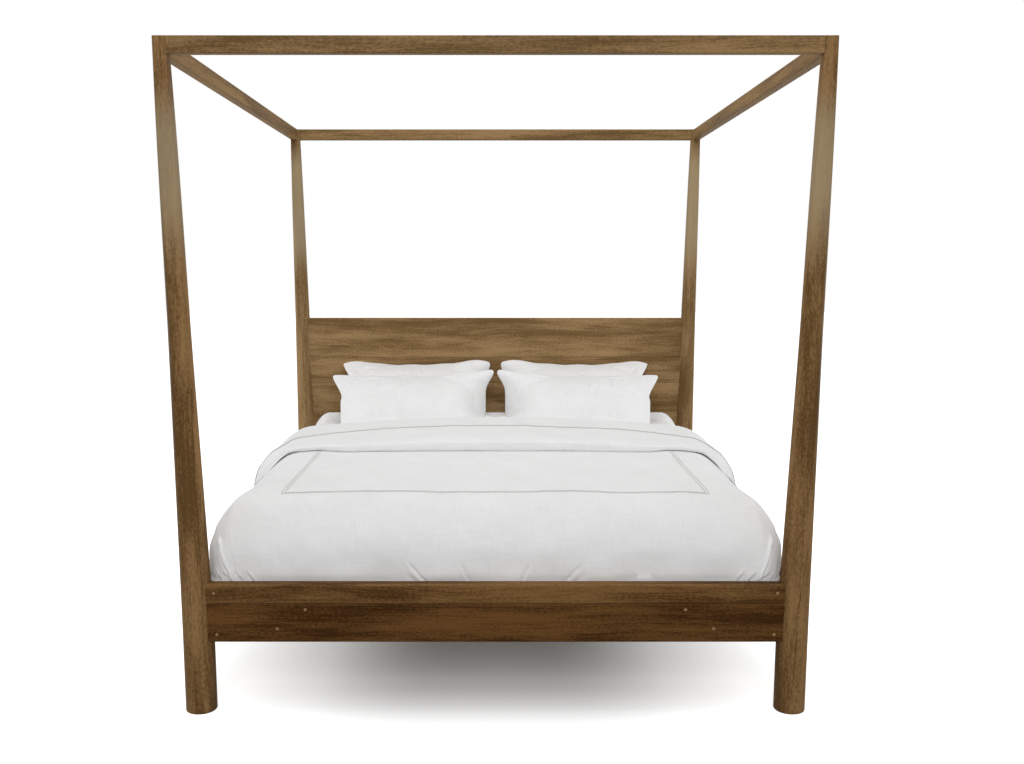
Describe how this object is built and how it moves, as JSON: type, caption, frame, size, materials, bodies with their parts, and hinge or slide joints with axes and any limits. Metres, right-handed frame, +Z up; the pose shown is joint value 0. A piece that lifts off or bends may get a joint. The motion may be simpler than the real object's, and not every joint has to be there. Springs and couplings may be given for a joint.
{
  "type": "four-poster canopy bed",
  "caption": "King-size wooden four-poster bed with an open rail canopy, planked headboard, low footboard, slatted base, mattress, folded-back duvet and flanged pillows.",
  "frame": {"origin": "on the floor, at the middle of the rectangle over the four posts", "axes": "+X across the bed to the right seen from the foot, +Y from the foot to the headboard, +Z up"},
  "size_m": [2.08, 2.17, 2.167],
  "materials": {
    "wood": "brown stain under a matt clear coat",
    "wood_dark": "darker brown stain under a matt clear coat",
    "slat_wood": "plain pale softwood, sanded",
    "steel": "zinc plated",
    "sheet": "plain woven cotton",
    "linen": "washed linen, slightly creased"
  },
  "bodies": {
    "root": {"post_foot_left": "wood", "post_foot_right": "wood", "post_head_left": "wood", "post_head_right": "wood", "canopy_rail_foot": "wood", "canopy_rail_head": "wood", "canopy_rail_left": "wood", "canopy_rail_right": "wood", "headboard_plank_1": "wood", "headboard_plank_2": "wood", "headboard_plank_3": "wood", "headboard_plank_4": "wood", "headboard_plank_5": "wood", "headboard_batten_left": "wood", "headboard_batten_right": "wood", "footboard_plank_1": "wood_dark", "footboard_plank_2": "wood_dark", "side_rail_left": "wood_dark", "side_rail_right": "wood_dark", "bed_stud_foot_left_1": "steel", "bed_stud_foot_left_2": "steel", "bed_stud_foot_right_1": "steel", "bed_stud_foot_right_2": "steel", "bed_stud_head_left_1": "steel", "bed_stud_head_left_2": "steel", "bed_stud_head_right_1": "steel", "bed_stud_head_right_2": "steel", "bed_nut_foot_left_1": "steel", "bed_nut_foot_left_2": "steel", "bed_nut_foot_right_1": "steel", "bed_nut_foot_right_2": "steel", "bed_nut_head_left_1": "steel", "bed_nut_head_left_2": "steel", "bed_nut_head_right_1": "steel", "bed_nut_head_right_2": "steel", "ledger_left": "slat_wood", "ledger_right": "slat_wood", "centre_beam": "slat_wood", "beam_saddle_foot": "slat_wood", "beam_saddle_head": "slat_wood", "centre_leg_foot": "slat_wood", "centre_leg_head": "slat_wood", "slat_01": "slat_wood", "slat_02": "slat_wood", "slat_03": "slat_wood", "slat_04": "slat_wood", "slat_05": "slat_wood", "slat_06": "slat_wood", "slat_07": "slat_wood", "slat_08": "slat_wood", "slat_09": "slat_wood", "slat_10": "slat_wood", "slat_11": "slat_wood", "slat_12": "slat_wood", "mattress": "sheet", "duvet": "linen", "pillow_rear_left": "linen", "pillow_rear_right": "linen", "pillow_front_left": "linen", "pillow_front_right": "linen"}
  },
  "joints": []
}
